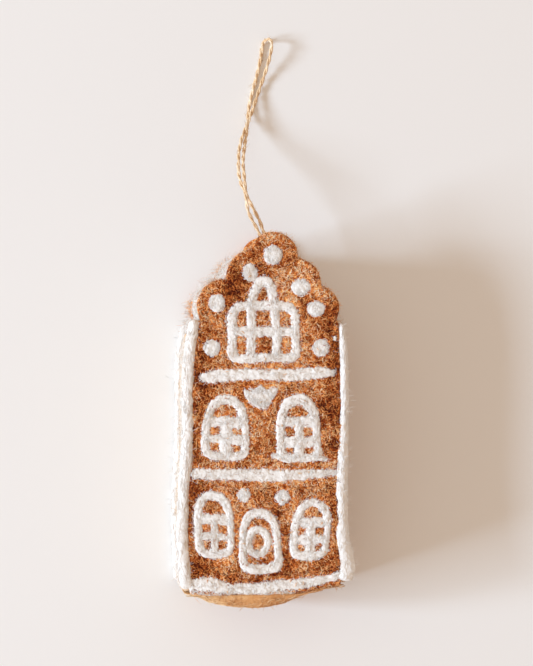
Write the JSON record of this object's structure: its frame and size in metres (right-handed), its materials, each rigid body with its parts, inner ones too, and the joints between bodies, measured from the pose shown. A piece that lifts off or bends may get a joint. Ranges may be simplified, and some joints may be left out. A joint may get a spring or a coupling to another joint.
{
  "type": "hanging ornament",
  "caption": "Felted wool ornament in the shape of a narrow gabled town house, with raised white windows, door and dots, and a jute hanging loop.",
  "frame": {"origin": "middle of the back at the surface it lies on, without the hanging loop", "axes": "+X across the front to the viewer's right, +Y from the foot up to the gable's peak, +Z out of the front"},
  "size_m": [0.0554, 0.1901, 0.0375],
  "materials": {
    "ginger_felt": "mottled needle-felted wool with curled fibres, gingerbread brown",
    "camel_felt": "needle-felted wool, golden tan",
    "white_wool": "needle-felted wool roving, off-white and fuzzy",
    "stuffing_wool": "loose core wool, inside only",
    "jute": "two-ply natural jute twine, hairy and matte"
  },
  "bodies": {
    "root": {"stuffing": "stuffing_wool", "back_panel": "ginger_felt", "front_panel": "ginger_felt", "left_wall": "white_wool", "right_wall": "white_wool", "roof": "white_wool", "foot_pad": "camel_felt", "front_left_corner": "white_wool", "front_right_corner": "white_wool", "back_left_corner": "white_wool", "back_right_corner": "white_wool", "upper_floor_band": "white_wool", "lower_floor_band": "white_wool", "foot_band": "white_wool", "attic_window": "white_wool", "attic_dormer": "white_wool", "upper_left_window_frame": "white_wool", "upper_left_window_bars": "white_wool", "upper_right_window_frame": "white_wool", "upper_right_window_bars": "white_wool", "lower_left_window_frame": "white_wool", "lower_left_window_bars": "white_wool", "lower_right_window_frame": "white_wool", "lower_right_window_bars": "white_wool", "door_frame": "white_wool", "door_wreath": "white_wool", "tulip": "white_wool", "peak_dot": "white_wool", "high_left_dot": "white_wool", "high_right_dot": "white_wool", "left_dot": "white_wool", "right_dot": "white_wool", "low_left_dot": "white_wool", "low_right_dot": "white_wool", "door_left_dot": "white_wool", "door_right_dot": "white_wool", "loop_knot": "jute", "hanging_loop": "jute"}
  },
  "joints": []
}
